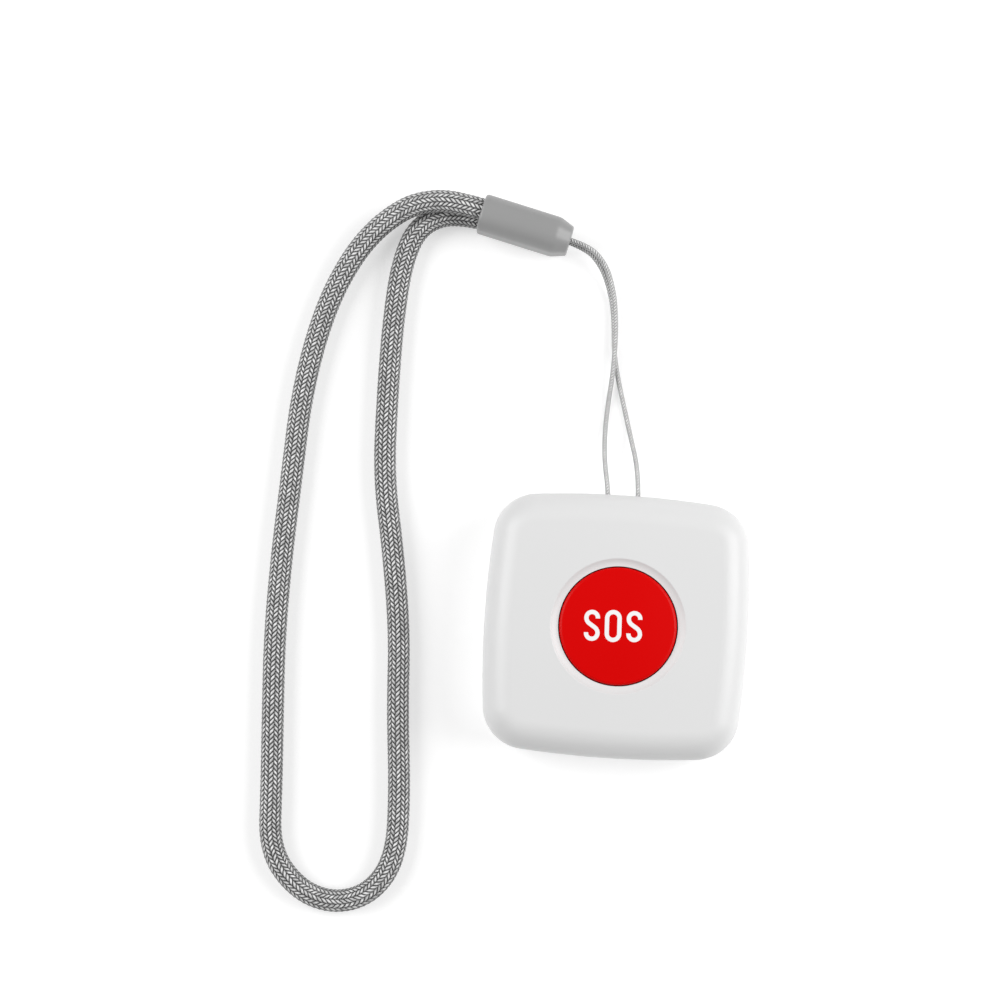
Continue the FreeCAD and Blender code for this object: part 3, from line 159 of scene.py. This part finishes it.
def braid(name, line, radius, bobbins, lay, yarn, dip, steps):
    """Lays the two families of yarns with opposite screws round a straight line, a whole number of
    turns long, lets them weave over and under each other, and bends them along the cord. A yarn goes
    over two others and under two, so the weave repeats every four. The yarn attribute says how far a
    point is along the yarn in mm, across it from -1 to 1, and above the braid's middle from -1 to 1.
    The side attribute runs round the cord, from -1 below to 1 on top."""
    crossing = 2 * math.pi / bobbins
    turns = round(line[0][-1] / lay)
    lay = line[0][-1] / turns
    slope = math.atan2(2 * math.pi * radius, lay)
    families = []
    for screw, first_angle in ((1, 0), (-1, math.pi + crossing)):
        bm = bmesh.new()
        across = Vector((screw * math.sin(slope), 0, -math.cos(slope)))
        outward = Vector((0, 1, 0))
        upright = Matrix((across, outward, across.cross(outward))).transposed().to_4x4()
        for phase in (first_angle, first_angle + 2 * crossing):
            section = bmesh.ops.create_circle(bm, segments=YARN_SIDES, radius=0.5)["verts"]
            bmesh.ops.scale(bm, vec=(*yarn, 1), verts=section)
            place = Matrix.Rotation(phase, 4, "X") @ Matrix.Translation(outward * radius) @ upright
            bmesh.ops.transform(bm, matrix=place, verts=section)
        bmesh.ops.spin(bm, geom=bm.edges[:], cent=(0, 0, 0), axis=(1, 0, 0),
                       angle=screw * 2 * math.pi, steps=steps, dvec=(lay / steps, 0, 0))
        copies = bobbins // BRAID_REPEAT
        bmesh.ops.spin(bm, geom=bm.verts[:] + bm.edges[:] + bm.faces[:], cent=(0, 0, 0), axis=(1, 0, 0),
                       angle=2 * math.pi * (copies - 1) / copies, steps=copies - 1, use_duplicate=True)
        bmesh.ops.spin(bm, geom=bm.verts[:] + bm.edges[:] + bm.faces[:], cent=(0, 0, 0), axis=(1, 0, 0),
                       angle=0, steps=turns - 1, dvec=(lay, 0, 0), use_duplicate=True)
        bmesh.ops.remove_doubles(bm, verts=bm.verts, dist=JOIN_GAP)
        bmesh.ops.holes_fill(bm, edges=[edge for edge in bm.edges if edge.is_boundary])
        bmesh.ops.recalc_face_normals(bm, faces=bm.faces)
        mesh = bpy.data.meshes.new(f"{name}_{'right' if screw > 0 else 'left'}_yarns")
        bm.to_mesh(mesh)
        bm.free()

        straight = np.empty(len(mesh.vertices) * 3)
        mesh.vertices.foreach_get("co", straight)
        straight = straight.reshape(-1, 3)
        angle = np.arctan2(straight[:, 2], straight[:, 1])
        wave = np.cos(bobbins / BRAID_REPEAT * (angle - math.pi / 2))
        wave = np.clip(CREST_FLATNESS * wave, -1, 1)
        lift = 1 + screw * dip * wave / radius
        turn = angle - screw * 2 * math.pi * straight[:, 0] / lay - first_angle
        sideways = (turn / (2 * crossing) + 0.5) % 1 - 0.5
        width = sideways * 2 * crossing * radius * math.cos(slope) / (yarn[0] / 2)
        facts = np.column_stack([straight[:, 0] * 1000 / math.cos(slope), width, screw * wave])
        straight[:, 1:] *= lift[:, None]
        mesh.vertices.foreach_set("co", bent_along(straight, line).ravel())
        mesh.attributes.new("yarn", "FLOAT_VECTOR", "POINT").data.foreach_set("vector", facts.ravel())
        mesh.attributes.new("side", "FLOAT", "POINT").data.foreach_set("value", np.sin(angle))
        mesh.shade_smooth()
        yarns = bpy.data.objects.new(mesh.name, mesh)
        bpy.context.collection.objects.link(yarns)
        families.append(yarns)
    return families


def linear(code):
    """An sRGB hex value as the linear colour that a socket takes."""
    shares = [int(code[start:start + 2], 16) / 255 for start in (1, 3, 5)]
    return [*(s / 12.92 if s <= 0.04045 else ((s + 0.055) / 1.055) ** 2.4 for s in shares), 1]


def new_material(name):
    material = bpy.data.materials.new(name)
    material.use_nodes = True
    material.node_tree.nodes.clear()
    return material


def add(material, kind, inputs=None, **settings):
    """Adds one node, with its settings, and its inputs from values or from other nodes' outputs."""
    node = material.node_tree.nodes.new(kind)
    for name, setting in settings.items():
        setattr(node, name, setting)
    for name, given in (inputs or {}).items():
        if isinstance(given, bpy.types.NodeSocket):
            material.node_tree.links.new(given, node.inputs[name])
        else:
            node.inputs[name].default_value = given
    return node


def finish_with(material, shader):
    add(material, "ShaderNodeOutputMaterial", {"Surface": shader.outputs["BSDF"]})
    return material


def coat(piece, material):
    piece.data.materials.clear()
    piece.data.materials.append(material)


def braided_yarn(name, light, dark, lower_side_shade, unevenness):
    """Textured polyester yarn: many shiny filaments side by side, with painted shade where it dips under
    others and on the flanks of each yarn, and painted shade darkening it towards the cord's lower side.
    The fourth argument says how much darker that side is, and unevenness how much the stitches differ."""
    material = new_material(name)
    facts = add(material, "ShaderNodeAttribute", attribute_name="yarn")
    parts = add(material, "ShaderNodeSeparateXYZ", {"Vector": facts.outputs["Vector"]})
    # filaments show as streaks along the yarn, drawn 0.05 mm apart because real ones are too fine
    streaks = add(material, "ShaderNodeMapping", {
        "Vector": facts.outputs["Vector"], "Scale": (0.9, 5.0, 0)})
    filaments = add(material, "ShaderNodeTexNoise", {
        "Vector": streaks.outputs["Vector"], "Scale": 1.4, "Detail": 2.0})
    # painted shade: the yarn is drawn dark where it dips under others and light on its crest
    rise = add(material, "ShaderNodeMapRange", {
        "Value": parts.outputs["Z"], "From Min": -0.1, "From Max": 0.9}, interpolation_type="SMOOTHSTEP")
    streaked = add(material, "ShaderNodeMapRange", {
        "Value": filaments.outputs["Fac"], "From Min": 0.3, "From Max": 0.7, "To Min": 0.72})
    # painted shade: each yarn is drawn darker towards its flanks
    flank = add(material, "ShaderNodeMath", {0: parts.outputs["Y"]}, operation="ABSOLUTE")
    shaded = add(material, "ShaderNodeMapRange", {
        "Value": flank.outputs["Value"], "From Min": 0.3, "From Max": 0.9, "To Min": 1.0, "To Max": 0.0})
    round_top = add(material, "ShaderNodeMath", {
        0: rise.outputs["Result"], 1: shaded.outputs["Result"]}, operation="MULTIPLY")
    shaded_streaks = add(material, "ShaderNodeMath", {
        0: round_top.outputs["Value"], 1: streaked.outputs["Result"]}, operation="MULTIPLY")
    # patches about as long as a stitch catch the light more or less than those beside them
    place = add(material, "ShaderNodeTexCoord")
    patches = add(material, "ShaderNodeTexNoise", {
        "Vector": place.outputs["Object"], "Scale": 900.0, "Detail": 1.0})
    uneven = add(material, "ShaderNodeMapRange", {
        "Value": patches.outputs["Fac"], "From Min": 0.35, "From Max": 0.65,
        "To Min": 1 - unevenness, "To Max": 1.0})
    shaded_and_uneven = add(material, "ShaderNodeMath", {
        0: shaded_streaks.outputs["Value"], 1: uneven.outputs["Result"]}, operation="MULTIPLY")
    # painted shade: the cord's lower side is drawn darker, as if in its own shadow
    side = add(material, "ShaderNodeAttribute", attribute_name="side")
    painted_lower_shade = add(material, "ShaderNodeMapRange", {
        "Value": side.outputs["Fac"], "From Min": 0.1, "From Max": 0.75,
        "To Min": 1 - lower_side_shade, "To Max": 1.0})
    share = add(material, "ShaderNodeMath", {
        0: shaded_and_uneven.outputs["Value"], 1: painted_lower_shade.outputs["Result"]}, operation="MULTIPLY")
    tint = add(material, "ShaderNodeMix", {
        "Factor": share.outputs["Value"], "A": linear(dark), "B": linear(light)}, data_type="RGBA")
    bump = add(material, "ShaderNodeBump", {
        "Height": filaments.outputs["Fac"], "Strength": 0.5, "Distance": 0.00004})
    shader = add(material, "ShaderNodeBsdfPrincipled", {
        "Base Color": tint.outputs["Result"], "Roughness": 0.24, "IOR": 1.6,
        "Normal": bump.outputs["Normal"]})
    return finish_with(material, shader)


def core_fibre(name, shade):
    """Loose filler yarn that shows only through the gaps of the braid."""
    material = new_material(name)
    place = add(material, "ShaderNodeTexCoord")
    fluff = add(material, "ShaderNodeTexNoise", {"Vector": place.outputs["Object"], "Scale": 2500.0})
    darker = [share * 0.6 for share in linear(shade)[:3]] + [1]
    tint = add(material, "ShaderNodeMix", {
        "Factor": fluff.outputs["Fac"], "A": darker, "B": linear(shade)}, data_type="RGBA")
    shader = add(material, "ShaderNodeBsdfPrincipled", {
        "Base Color": tint.outputs["Result"], "Roughness": 0.85})
    return finish_with(material, shader)


strap_core, strap_line = cord_core("strap_core", STRAP_ROUTE, STRAP_CORE_RADIUS)
strap_yarns = braid("strap", strap_line, STRAP_DIAMETER / 2 - STRAP_YARN[1] / 2 - STRAP_YARN_DIP,
                    STRAP_BOBBINS, STRAP_LAY, STRAP_YARN, STRAP_YARN_DIP, STRAP_STEPS)
strap_yarn = braided_yarn("braided_polyester", YARN_LIGHT, YARN_DARK, STRAP_LOWER_SIDE_SHADE, STRAP_UNEVENNESS)
coat(strap_core, core_fibre("polyester_filler_in_painted_shade", CORE_SHADE_GREY))
for piece in (strap_core, *strap_yarns):
    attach(piece, "housing")
for piece in strap_yarns:
    coat(piece, strap_yarn)
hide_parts("strap_cord")


# Thread loop
# A thin braided polyester thread, 1 mm thick and lighter than the strap. It goes from the knot in the
# cuff round the lanyard bar of the housing and back, and its two strands cross once.

THREAD_ROUTE = [
    (-0.01796, 0.074245, 0.00572), (-0.01025, 0.07305, 0.00565), (-0.0059, 0.0694, 0.0035),
    (-0.0040, 0.0640, 0.00165), (-0.00335, 0.0588, 0.0016), (-0.0032, 0.0538, 0.0018),
    (-0.00335, 0.0482, 0.0017), (-0.00385, 0.0428, 0.00055), (-0.00415, 0.0370, 0.0006),
    (-0.00395, 0.0312, 0.0032), (-0.00285, 0.0252, 0.0050), (-0.00285, 0.01775, 0.0050),
    (0.00285, 0.01775, 0.0050), (0.00285, 0.0252, 0.0050), (0.00235, 0.0310, 0.0032),
    (0.0009, 0.0366, 0.0006), (-0.00075, 0.0424, 0.00055), (-0.0023, 0.0480, 0.00055),
    (-0.0034, 0.0535, 0.00055), (-0.00365, 0.0586, 0.00055), (-0.00445, 0.0635, 0.0006),
    (-0.00655, 0.06885, 0.0024), (-0.0104, 0.0725, 0.00468), (-0.01796, 0.074245, 0.00468),
]
THREAD_DIAMETER = 0.0010
THREAD_CORE_RADIUS = 0.00036
THREAD_BOBBINS = 8
THREAD_LAY = 0.0023
THREAD_YARN = (0.00036, 0.00020)
THREAD_YARN_DIP = 0.00006
THREAD_STEPS = 24

THREAD_LIGHT = "#FFFFFF"
# The dark tone is painted shade where the thread's yarns dip under others and on their flanks.
THREAD_DARK = "#A4A4A4"
# How much painted shade darkens the thread's lower side.
THREAD_LOWER_SIDE_SHADE = 0.1
THREAD_UNEVENNESS = 0.35
THREAD_FILLER = "#808080"

thread_core, thread_line = cord_core("thread_core", THREAD_ROUTE, THREAD_CORE_RADIUS)
thread_yarns = braid("thread", thread_line, THREAD_DIAMETER / 2 - THREAD_YARN[1] / 2 - THREAD_YARN_DIP,
                     THREAD_BOBBINS, THREAD_LAY, THREAD_YARN, THREAD_YARN_DIP, THREAD_STEPS)
thread_yarn = braided_yarn("braided_thread", THREAD_LIGHT, THREAD_DARK, THREAD_LOWER_SIDE_SHADE,
                           THREAD_UNEVENNESS)
coat(thread_core, core_fibre("thread_filler", THREAD_FILLER))
for piece in (thread_core, *thread_yarns):
    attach(piece, "housing")
for piece in thread_yarns:
    coat(piece, thread_yarn)
coat(nodes["thread_knot"], thread_core.data.materials[0])
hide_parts("thread_loop")


# Cuff
# A grey moulding with an oval bore that grips both ends of the strap and hides the thread's knot. Its
# satin face comes from a fine spark-eroded mould.

CUFF_GREY = "#989898"


def moulded_plastic(name, tone, roughness, grain, depth, drift=0.04, gloss=0.5):
    """Injection-moulded plastic: even colour with a faint drift from the flow of the melt, and the
    fine grain of the mould's face, whose pits are about as wide as the grain in metres. The grain is
    drawn coarser than the real one, which would be too fine to show."""
    material = new_material(name)
    place = add(material, "ShaderNodeTexCoord")
    flow = add(material, "ShaderNodeTexNoise", {
        "Vector": place.outputs["Object"], "Scale": 60.0, "Detail": 1.0})
    base = linear(tone)
    darker = [share * (1 - drift) for share in base[:3]] + [1]
    tint = add(material, "ShaderNodeMix", {
        "Factor": flow.outputs["Fac"], "A": darker, "B": base}, data_type="RGBA")
    pits = add(material, "ShaderNodeTexNoise", {
        "Vector": place.outputs["Object"], "Scale": 1 / grain, "Detail": 2.0})
    rough = add(material, "ShaderNodeMapRange", {
        "Value": flow.outputs["Fac"], "To Min": roughness - 0.04, "To Max": roughness + 0.04})
    bump = add(material, "ShaderNodeBump", {
        "Height": pits.outputs["Fac"], "Strength": 0.6, "Distance": depth})
    shader = add(material, "ShaderNodeBsdfPrincipled", {
        "Base Color": tint.outputs["Result"], "Roughness": rough.outputs["Result"],
        "IOR": 1.53, "Specular IOR Level": gloss, "Normal": bump.outputs["Normal"]})
    return finish_with(material, shader)


coat(nodes["strap_cuff"], moulded_plastic("satin_grey_abs", CUFF_GREY, 0.40, 0.0003, 0.00001))


# Housing
# Two shells of white ABS meet in a seam just under half height. The front one is polished to a low
# satin, the rear one has the battery well, the screw holes and the lanyard bar.

SHELL_WHITE = "#DEDEDE"

shell_abs = moulded_plastic("satin_white_abs", SHELL_WHITE, 0.42, 0.0004, 0.000004, drift=0.01)
coat(nodes["front_shell"], shell_abs)
coat(nodes["rear_shell"], shell_abs)


# Button
# A red ABS cap that sits in a round dish of the front shell, with a pad-printed distress call in
# white. The print is a thin layer of ink that follows the cap's crown.

CAP_RED = "#D60000"
INK_WHITE = "#F2F2F2"
CAP_TOP = 0.0151
CAP_CROWN_RADIUS = 0.120
LETTER_CENTRE = -0.00095
PRINT_TURN = math.radians(1.9)
LETTER_PITCH = 0.00395
STROKE_WIDTH = 0.00080
O_BOWL_RADIUS = 0.00116
S_BOWL_RADIUS = 0.00107
BOWL_LEVEL = 0.00143
WAIST_RADIUS = 0.0013
WAIST_TURN = 55
WAIST_RUN = 0.00126
TERMINAL_RUN = 0.00012
ARC_STEP_DEGREES = 10
STROKE_JOIN_GAP = 0.00001
INK_THICKNESS = 0.00003
INK_SUNK = 0.00001

coat(nodes["button_cap"], moulded_plastic("satin_red_abs", CAP_RED, 0.34, 0.0004, 0.000003, gloss=0.1))


def pen_stroke(bm, start, heading, moves):
    """Draws a ribbon as wide as the stroke: a run goes straight on, and a turn follows an arc, to
    the left where its angle is positive."""
    ahead = Vector((math.cos(heading), math.sin(heading), 0))
    across = Vector((-ahead.y, ahead.x, 0))
    place = Vector((*start, 0))
    ends = [bm.verts.new(place + across * side * STROKE_WIDTH / 2) for side in (-1, 1)]
    tip = [bm.edges.new(ends)]
    for kind, size, *angle in moves:
        if kind == "run":
            grown = bmesh.ops.extrude_edge_only(bm, edges=tip)["geom"]
            bmesh.ops.translate(bm, vec=ahead * size,
                                verts=[item for item in grown if isinstance(item, bmesh.types.BMVert)])
            place += ahead * size
        else:
            turn = math.radians(angle[0])
            centre = place + across * math.copysign(size, turn)
            grown = bmesh.ops.spin(bm, geom=tip, cent=centre, axis=(0, 0, 1), angle=turn,
                                   steps=max(round(abs(angle[0]) / ARC_STEP_DEGREES), 1))["geom_last"]
            spun = Matrix.Rotation(turn, 3, "Z")
            place = centre + spun @ (place - centre)
            ahead, across = spun @ ahead, spun @ across
        tip = [item for item in grown if isinstance(item, bmesh.types.BMEdge)]


def letter_s(bm, x):
    half = [("turn", S_BOWL_RADIUS, 180), ("turn", WAIST_RADIUS, WAIST_TURN), ("run", WAIST_RUN / 2)]
    back = [("run", WAIST_RUN / 2), ("turn", WAIST_RADIUS, -WAIST_TURN), ("turn", S_BOWL_RADIUS, -180)]
    pen_stroke(bm, (x + S_BOWL_RADIUS, BOWL_LEVEL - TERMINAL_RUN), math.pi / 2,
               [("run", TERMINAL_RUN), *half, *back, ("run", TERMINAL_RUN)])


def letter_o(bm, x):
    side = ("run", 2 * BOWL_LEVEL)
    bowl = ("turn", O_BOWL_RADIUS, 180)
    pen_stroke(bm, (x + O_BOWL_RADIUS, -BOWL_LEVEL), math.pi / 2, [side, bowl, side, bowl])


bm = bmesh.new()
letter_s(bm, LETTER_CENTRE - LETTER_PITCH)
letter_o(bm, LETTER_CENTRE)
letter_s(bm, LETTER_CENTRE + LETTER_PITCH)
bmesh.ops.remove_doubles(bm, verts=bm.verts, dist=STROKE_JOIN_GAP)
bmesh.ops.recalc_face_normals(bm, faces=bm.faces)
raised = bmesh.ops.extrude_face_region(bm, geom=bm.faces[:], use_keep_orig=True)["geom"]
bmesh.ops.translate(bm, vec=(0, 0, INK_THICKNESS),
                    verts=[item for item in raised if isinstance(item, bmesh.types.BMVert)])
bmesh.ops.rotate(bm, verts=bm.verts, cent=(LETTER_CENTRE, 0, 0),
                 matrix=Matrix.Rotation(PRINT_TURN, 3, "Z"))
for vertex in bm.verts:
    away = math.hypot(vertex.co.x, vertex.co.y)
    sag = CAP_CROWN_RADIUS - math.sqrt(CAP_CROWN_RADIUS ** 2 - away ** 2)
    vertex.co.z += CAP_TOP - sag - INK_SUNK
bmesh.ops.recalc_face_normals(bm, faces=bm.faces)
legend_mesh = bpy.data.meshes.new("button_print")
bm.to_mesh(legend_mesh)
bm.free()
legend = bpy.data.objects.new("button_print", legend_mesh)
bpy.context.collection.objects.link(legend)
coat(legend, moulded_plastic("pad_print_ink", INK_WHITE, 0.45, 0.0002, 0.000004, drift=0.02))
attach(legend, "button")


# Battery door
# A white ABS disc that turns an eighth of a turn with a coin and presses a rubber ring.

RUBBER_BLACK = "#1C1C1C"

coat(nodes["battery_door"], moulded_plastic(
    "satin_white_door", SHELL_WHITE, 0.38, 0.0003, 0.000006, drift=0.01))
coat(nodes["door_seal"], moulded_plastic("nitrile_rubber", RUBBER_BLACK, 0.62, 0.0002, 0.000006))


# Coin cell and contacts
# The cell's can is deep-drawn stainless steel, and the contacts are bent from nickel-plated strip.

STEEL_GREY = "#B4B4B0"
NICKEL_GREY = "#C4BFB4"


def metal(name, tone, roughness, streak):
    """Sheet or turned metal with the fine lines that its rolling or polishing leaves, as many to the
    metre along each axis as the streak says. They blur what the metal mirrors."""
    material = new_material(name)
    place = add(material, "ShaderNodeTexCoord")
    drawn = add(material, "ShaderNodeMapping", {"Vector": place.outputs["Object"], "Scale": streak})
    lines = add(material, "ShaderNodeTexNoise", {
        "Vector": drawn.outputs["Vector"], "Scale": 1.0, "Detail": 2.0})
    rough = add(material, "ShaderNodeMapRange", {
        "Value": lines.outputs["Fac"], "To Min": roughness - 0.08, "To Max": roughness + 0.08})
    bump = add(material, "ShaderNodeBump", {
        "Height": lines.outputs["Fac"], "Strength": 0.3, "Distance": 0.000005})
    shader = add(material, "ShaderNodeBsdfPrincipled", {
        "Base Color": linear(tone), "Metallic": 1.0, "Roughness": rough.outputs["Result"],
        "Normal": bump.outputs["Normal"]})
    return finish_with(material, shader)


coat(nodes["coin_cell"], metal("drawn_stainless_steel", STEEL_GREY, 0.3, (800, 6000, 800)))
contact_metal = metal("nickel_plated_strip", NICKEL_GREY, 0.28, (600, 5000, 5000))
for name in ("negative_contact", "positive_contact", "switch_cover", "switch_terminals", "radio_shield"):
    coat(nodes[name], contact_metal)


# Circuit board and its parts
# A green glass-epoxy board carries the press switch, the radio module, a lamp and the small parts.

BOARD_GREEN = "#1F5A34"
NYLON_BLACK = "#191919"
CHIP_BLACK = "#222224"
LAMP_CLEAR = "#D9D6C4"

board_laminate = moulded_plastic("glass_epoxy_board", BOARD_GREEN, 0.35, 0.0005, 0.00001, drift=0.2)
coat(nodes["circuit_board"], board_laminate)
coat(nodes["radio_board"], board_laminate)
switch_nylon = moulded_plastic("black_nylon", NYLON_BLACK, 0.5, 0.0002, 0.000006)
coat(nodes["switch_base"], switch_nylon)
coat(nodes["switch_plunger"], switch_nylon)
coat(nodes["smd_parts"], moulded_plastic("black_epoxy_chips", CHIP_BLACK, 0.55, 0.0001, 0.000006))
coat(nodes["status_led"], moulded_plastic("clear_lamp_epoxy", LAMP_CLEAR, 0.2, 0.0005, 0.000002))


# Snap dome
# The switch clicks when its thin steel dome gives way, so the plunger presses this one nearly flat. It
# stands on its rim in the switch's base, under the plunger.

DOME_RIM = 0.0093
DOME_RADIUS = 0.0022
DOME_HEIGHT = 0.00045
DOME_SHEET = 0.00012
DOME_TURN_STEPS = 64


def dome_arc(radius, height, steps=16):
    """Half of a section through a cap of a sphere, from its crown out to its rim."""
    sphere = (radius ** 2 + height ** 2) / (2 * height)
    outs = [radius * step / steps for step in range(steps + 1)]
    return [(out, 0, DOME_RIM + height - sphere + math.sqrt(sphere ** 2 - out ** 2)) for out in outs]


bm = bmesh.new()
outside = dome_arc(DOME_RADIUS, DOME_HEIGHT)
inside = dome_arc(DOME_RADIUS - DOME_SHEET, DOME_HEIGHT - DOME_SHEET)
corners = [bm.verts.new(place) for place in outside + inside[::-1]]
for near, far in zip(corners, corners[1:]):
    bm.edges.new((near, far))
bmesh.ops.spin(bm, geom=bm.verts[:] + bm.edges[:], cent=(0, 0, 0), axis=(0, 0, 1),
               angle=2 * math.pi, steps=DOME_TURN_STEPS, use_merge=True)
bmesh.ops.remove_doubles(bm, verts=bm.verts, dist=JOIN_GAP)
bmesh.ops.recalc_face_normals(bm, faces=bm.faces)
dome_mesh = bpy.data.meshes.new("snap_dome")
bm.to_mesh(dome_mesh)
bm.free()
dome_mesh.shade_smooth()
snap_dome = bpy.data.objects.new("snap_dome", dome_mesh)
bpy.context.collection.objects.link(snap_dome)
coat(snap_dome, contact_metal)
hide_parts("switch_dome")
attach(snap_dome, "housing")
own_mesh(snap_dome)


# Screws
# Zinc-plated steel screws with a cross recess, four through the rear shell and two in the board.

ZINC_GREY = "#A9ABAD"

screw_steel = metal("zinc_plated_steel", ZINC_GREY, 0.32, (3000, 3000, 400))
coat(nodes["housing_screws"], screw_steel)
coat(nodes["board_screws"], screw_steel)


# Studio
# An opal acrylic table, lit from below so that it takes almost no shadow, under two broad panels, the
# right one a little stronger.

FLOOR_OPAL = "#D0D0D0"
GLOW_WHITE = "#FFFFFF"
FLOOR_SIZE = 6.0
FLOOR_GLOW = 0.48
SKY_STRENGTH = 0.24
PANEL_OUT = 0.55
PANEL_BACK = 0.12
PANEL_HEIGHT = 0.42
PANEL_WIDTH = 0.5
RIGHT_POWER = 4.3
LEFT_POWER = 3.6

floor_mesh = bpy.data.meshes.new("floor")
bm = bmesh.new()
bmesh.ops.create_grid(bm, x_segments=1, y_segments=1, size=FLOOR_SIZE / 2)
bm.to_mesh(floor_mesh)
bm.free()
floor = bpy.data.objects.new("floor", floor_mesh)
bpy.context.collection.objects.link(floor)
floor_paint = new_material("opal_acrylic_table")
coat(floor, finish_with(floor_paint, add(floor_paint, "ShaderNodeBsdfPrincipled", {
    "Base Color": linear(FLOOR_OPAL), "Roughness": 0.9, "Specular IOR Level": 0.1,
    "Emission Color": linear(GLOW_WHITE), "Emission Strength": FLOOR_GLOW})))

world = bpy.data.worlds.new("studio")
world.use_nodes = True
sky = world.node_tree.nodes["Background"]
sky.inputs["Color"].default_value = (1, 1, 1, 1)
sky.inputs["Strength"].default_value = SKY_STRENGTH
bpy.context.scene.world = world


def panel_light(name, place, power):
    """A square soft panel that faces the middle of the table."""
    data = bpy.data.lights.new(name, "AREA")
    data.shape = "SQUARE"
    data.size = PANEL_WIDTH
    data.energy = power
    lamp = bpy.data.objects.new(name, data)
    lamp.location = place
    lamp.rotation_euler = (-Vector(place)).to_track_quat("-Z", "Y").to_euler()
    bpy.context.collection.objects.link(lamp)


panel_light("right_panel", (PANEL_OUT, PANEL_BACK, PANEL_HEIGHT), RIGHT_POWER)
panel_light("left_panel", (-PANEL_OUT, PANEL_BACK, PANEL_HEIGHT), LEFT_POWER)

bpy.context.scene.view_settings.view_transform = "Standard"
